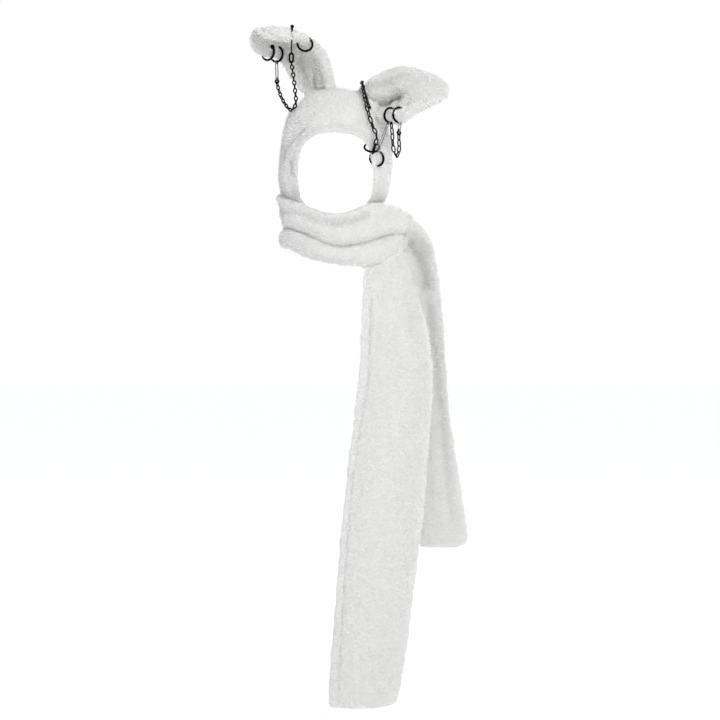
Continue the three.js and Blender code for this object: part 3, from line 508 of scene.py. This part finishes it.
def shape_plush(piece, node):
    pulls = [pull[1:] for pull in PULLS if pull[0] == node]
    front = [press[1:] for press in PRESSES if press[0] == node]
    back = [press[1:] for press in BACK_PRESSES if press[0] == node]
    follow = BACK_FOLLOWS.get(node, 0.0)
    front_half = FRONT_HALF.get(node, math.inf)
    vertices = piece.data.vertices
    normals = [vertex.normal.copy() for vertex in vertices]
    moved = []
    for vertex, normal in zip(vertices, normals):
        place = vertex.co
        swell = noise.noise(place / SWELL_SIZE) * SWELL_DEPTH
        dimple = noise.noise(place / DIMPLE_SIZE) * DIMPLE_DEPTH
        met = contact(place, node)
        push = swell + dimple - CLOTH_INSET + met * (CLOTH_INSET + CONTACT_SWELL)
        away = 0.0
        share = max(-normal.y, follow, 0.0)
        if share > 0 and place.y < front_half:
            away += pressed(place, front) * share
        if back and normal.y > 0:
            away -= pressed(place, back) * normal.y
        moved.extend(place + normal * push + Vector((0, away, 0)) + pulled(place, pulls))
    vertices.foreach_set("co", moved)
    piece.data.update()


# Pile: small pointed tufts that stand on the cloth and lean with the nap
def maths(tree, operation, first, second, kind="ShaderNodeMath"):
    """Join two values or other nodes' outputs, and give the output."""
    node = add_node(tree, kind, {"operation": operation})
    slots = (0, "Scale" if operation == "SCALE" else 1)
    for slot, value in zip(slots, (first, second)):
        if isinstance(value, bpy.types.NodeSocket):
            tree.links.new(value, node.inputs[slot])
        else:
            node.inputs[slot].default_value = value
    return node.outputs[0]


def vector_maths(tree, operation, first, second):
    return maths(tree, operation, first, second, "ShaderNodeVectorMath")


def pile_group():
    tree = bpy.data.node_groups.new("pile", "GeometryNodeTree")
    face = tree.interface
    face.new_socket("Geometry", in_out="INPUT", socket_type="NodeSocketGeometry")
    for name in ("Spacing", "Length", "Width", "Clump", "Nap", "Scatter"):
        face.new_socket(name, in_out="INPUT", socket_type="NodeSocketFloat")
    face.new_socket("Seed", in_out="INPUT", socket_type="NodeSocketInt")
    face.new_socket("Finish", in_out="INPUT", socket_type="NodeSocketMaterial")
    face.new_socket("Geometry", in_out="OUTPUT", socket_type="NodeSocketGeometry")
    return tree


def tuft_aim(tree, given, where, normal):
    """Which way a tuft leans: off the cloth, with its clump, and a little its own way."""
    waves = maths(tree, "DIVIDE", 1.0, given["Clump"])
    clump = add_node(
        tree,
        "ShaderNodeTexNoise",
        {"Detail": 1.0},
        {"Vector": vector_maths(tree, "MULTIPLY", where, CURL_ROWS), "Scale": waves},
    )
    centred = vector_maths(tree, "SUBTRACT", clump.outputs["Color"], (0.5, 0.5, 0.5))
    swirl = vector_maths(tree, "SCALE", centred, given["Nap"])
    own = add_node(
        tree,
        "FunctionNodeRandomValue",
        {"data_type": "FLOAT_VECTOR", 0: (-1, -1, -1), 1: (1, 1, 1)},
        {"Seed": given["Seed"]},
    )
    loose = vector_maths(tree, "SCALE", own.outputs[0], given["Scatter"])
    lean = vector_maths(tree, "ADD", swirl, loose)
    return vector_maths(tree, "ADD", normal, lean)


def tuft_measure(tree, given):
    size = add_node(
        tree,
        "FunctionNodeRandomValue",
        {"data_type": "FLOAT", 2: TUFT_SHORTEST, 3: TUFT_LONGEST},
        {"Seed": given["Seed"]},
    )
    tall = maths(tree, "MULTIPLY", size.outputs[1], given["Length"])
    measure = add_node(
        tree,
        "ShaderNodeCombineXYZ",
        links={"X": given["Width"], "Y": given["Width"], "Z": tall},
    )
    return measure.outputs[0]


def tuft_form(tree, where):
    """A three-sided point of unit size that keeps each place's height as "tip"."""
    tuft = add_node(
        tree,
        "GeometryNodeMeshCone",
        {
            "fill_type": "NGON",
            "Vertices": 3,
            "Side Segments": 1,
            "Fill Segments": 1,
            "Radius Top": 0.0,
            "Radius Bottom": 0.5,
            "Depth": 1.0,
        },
    )
    split = add_node(tree, "ShaderNodeSeparateXYZ", links={"Vector": where})
    marked = add_node(
        tree,
        "GeometryNodeStoreNamedAttribute",
        {"Name": "tip"},
        {"Geometry": tuft.outputs["Mesh"], "Value": split.outputs["Z"]},
    )
    sunk = add_node(
        tree,
        "GeometryNodeTransform",
        {"Translation": (0, 0, -TUFT_SUNK)},
        {"Geometry": marked.outputs["Geometry"]},
    )
    return sunk.outputs[0]


def pile_tree():
    tree = pile_group()
    given = tree.nodes.new("NodeGroupInput").outputs
    where = tree.nodes.new("GeometryNodeInputPosition").outputs[0]
    per_area = maths(tree, "POWER", given["Spacing"], -2.0)
    spread = add_node(
        tree,
        "GeometryNodeDistributePointsOnFaces",
        {"distribute_method": "POISSON"},
        {
            "Mesh": given["Geometry"],
            "Distance Min": given["Spacing"],
            "Density Max": maths(tree, "MULTIPLY", per_area, TUFT_TRIES),
            "Seed": given["Seed"],
        },
    )
    turn = add_node(
        tree,
        "FunctionNodeAlignRotationToVector",
        {"axis": "Z"},
        {"Vector": tuft_aim(tree, given, where, spread.outputs["Normal"])},
    )
    placed = add_node(
        tree,
        "GeometryNodeInstanceOnPoints",
        links={
            "Points": spread.outputs["Points"],
            "Instance": tuft_form(tree, where),
            "Rotation": turn.outputs[0],
            "Scale": tuft_measure(tree, given),
        },
    )
    real = add_node(tree, "GeometryNodeRealizeInstances", links={"Geometry": placed.outputs[0]})
    finish = add_node(
        tree,
        "GeometryNodeSetMaterial",
        links={"Geometry": real.outputs[0], "Material": given["Finish"]},
    )
    out = tree.nodes.new("NodeGroupOutput")
    tree.links.new(finish.outputs[0], out.inputs["Geometry"])
    return tree


def with_inputs(modifier, values):
    """Set a Geometry Nodes modifier's inputs by the sockets' identifiers."""
    sockets = {
        item.name: item.identifier
        for item in modifier.node_group.interface.items_tree
        if item.in_out == "INPUT"
    }
    for name, value in values.items():
        modifier[sockets[name]] = value


pile = pile_tree()


def grow_pile(base, node, share):
    cover = new_object(f"{node}_pile", base.data.copy())
    modifier = cover.modifiers.new("pile", "NODES")
    modifier.node_group = pile
    with_inputs(modifier, {
        "Spacing": TUFT_SPACING,
        "Length": TUFT_LENGTH * share,
        "Width": TUFT_WIDTH,
        "Clump": TUFT_CLUMP,
        "Nap": TUFT_NAP,
        "Scatter": TUFT_SCATTER,
        "Seed": TUFT_SEED,
        "Finish": plush,
    })
    return settled(cover)


for node, share in PLUSH_NODES.items():
    form = soften(node_copy(node, f"{node}_cloth"))
    shape_plush(form, node)
    dress(form, plush)
    cover = grow_pile(form, node, share)
    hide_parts(node)
    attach(form, "root")
    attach(cover, "root")


# Wire pieces: rounder copies of the solids, with the safety pins' caps and coils
def pin_axes(piece):
    """Give a pin's middle, long axis (down), wide axis, half length and half width."""
    points = np.array([vertex.co for vertex in piece.data.vertices])
    middle = (points.min(axis=0) + points.max(axis=0)) / 2
    long, wide = np.linalg.svd(points - middle, full_matrices=False)[2][:2]
    if long[2] > 0:
        long = -long
    half_length = np.abs((points - middle) @ long).max()
    half_width = np.abs((points - middle) @ wide).max()
    return Vector(middle), Vector(long), Vector(wide), half_length, half_width


def pin_cap(name, middle, long, wide, half_width):
    form = bmesh.new()
    bmesh.ops.create_uvsphere(
        form, u_segments=CAP_SEGMENTS, v_segments=CAP_RINGS, radius=1.0
    )
    flat = long.cross(wide)
    for vertex in form.verts:
        x, y, z = (math.copysign(abs(c) ** CAP_ROUNDNESS, c) for c in vertex.co)
        vertex.co = (
            middle
            + long * (z * half_width * CAP_LENGTH)
            + wide * (x * half_width)
            + flat * (y * half_width * CAP_THICKNESS)
        )
    bmesh.ops.recalc_face_normals(form, faces=form.faces)
    return new_object(name, finished(form, name))


def pin_coil(name, middle, wide, flat, half_width, wire):
    curve = bpy.data.curves.new(name, "CURVE")
    curve.dimensions = "3D"
    curve.bevel_depth = wire / 2
    curve.bevel_resolution = 2
    curve.use_fill_caps = True
    steps = int(COIL_TURNS * COIL_STEPS)
    line = curve.splines.new("POLY")
    line.points.add(steps)
    down = wide.cross(flat)
    for i in range(steps + 1):
        angle = 2 * math.pi * COIL_TURNS * i / steps
        rise = (i / steps - 0.5) * COIL_TURNS * wire * COIL_RISE
        point = middle + flat * rise
        point += wide * math.cos(angle) * half_width * COIL_RADIUS * 2
        point += down * math.sin(angle) * half_width * COIL_RADIUS * 2
        line.points[i].co = (*point, 1.0)
    piece = new_object(name, curve)
    shapes = bpy.context.evaluated_depsgraph_get()
    mesh = bpy.data.meshes.new_from_object(piece.evaluated_get(shapes))
    bpy.data.objects.remove(piece)
    return new_object(name, mesh)


def finish_wire(piece, silver):
    dress(piece, silver_steel if silver else black_steel)
    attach(piece, "root")


for node in BLACK_NODES + SILVER_NODES:
    wire = node_copy(node, f"{node}_wire")
    add_rounding(wire, WIRE_ROUNDING)
    plump = wire.modifiers.new("plumping", "DISPLACE")
    plump.mid_level = 0.0
    silver = node in SILVER_NODES
    plumping = SILVER_PLUMPING if silver else BLACK_PLUMPING
    plump.strength = plumping * WIRE_SIZES[node.split("_")[0]]
    settled(wire)
    finish_wire(wire, silver)
    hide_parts(node)
    if node.startswith("safety_pin"):
        middle, long, wide, half_length, half_width = pin_axes(wire)
        top = middle - long * (half_length - half_width * CAP_LENGTH * SEATING)
        foot = middle + long * (half_length - half_width * SEATING)
        finish_wire(pin_cap(f"{node}_cap", top, long, wide, half_width), silver)
        flat = long.cross(wide)
        coil = pin_coil(f"{node}_coil", foot, wide, flat, half_width, WIRE_SIZES["safety"])
        finish_wire(coil, silver)


# Stage: a wide pale floor under an even sky
def stage():
    form = bmesh.new()
    bmesh.ops.create_circle(form, cap_ends=True, radius=FLOOR_RADIUS, segments=64)
    bmesh.ops.translate(form, verts=form.verts, vec=(0, 0, FLOOR_HEIGHT))
    mesh = finished(form, "floor")
    mesh.materials.append(stage_material())
    new_object("floor", mesh)


def area_light(name, place, target, size, power):
    data = bpy.data.lights.new(name, "AREA")
    data.shape = "DISK"
    data.size = size
    data.energy = power
    lamp = bpy.data.objects.new(name, data)
    lamp.location = place
    aim = Vector(target) - Vector(place)
    lamp.rotation_euler = aim.to_track_quat("-Z", "Y").to_euler()
    bpy.context.scene.collection.objects.link(lamp)


def light():
    world = bpy.data.worlds.new("studio")
    world.use_nodes = True
    tree = world.node_tree
    sky = tree.nodes["Background"]
    way = add_node(tree, "ShaderNodeTexCoord")
    parts = add_node(tree, "ShaderNodeSeparateXYZ", links={"Vector": way.outputs["Generated"]})
    side = add_node(
        tree,
        "ShaderNodeMapRange",
        {"From Min": -1.0, "From Max": 1.0},
        {"Value": parts.outputs["X"]},
    )
    tint = ramp(tree, side.outputs["Result"], SKY_LEFT, SKY_WHITE, high_at=SKY_WHITE_FROM)
    tree.links.new(tint, sky.inputs["Color"])
    sky.inputs["Strength"].default_value = SKY_STRENGTH
    bpy.context.scene.world = world
    for lamp in LAMPS:
        area_light(*lamp)


stage()
light()
bpy.context.scene.view_settings.view_transform = "Standard"
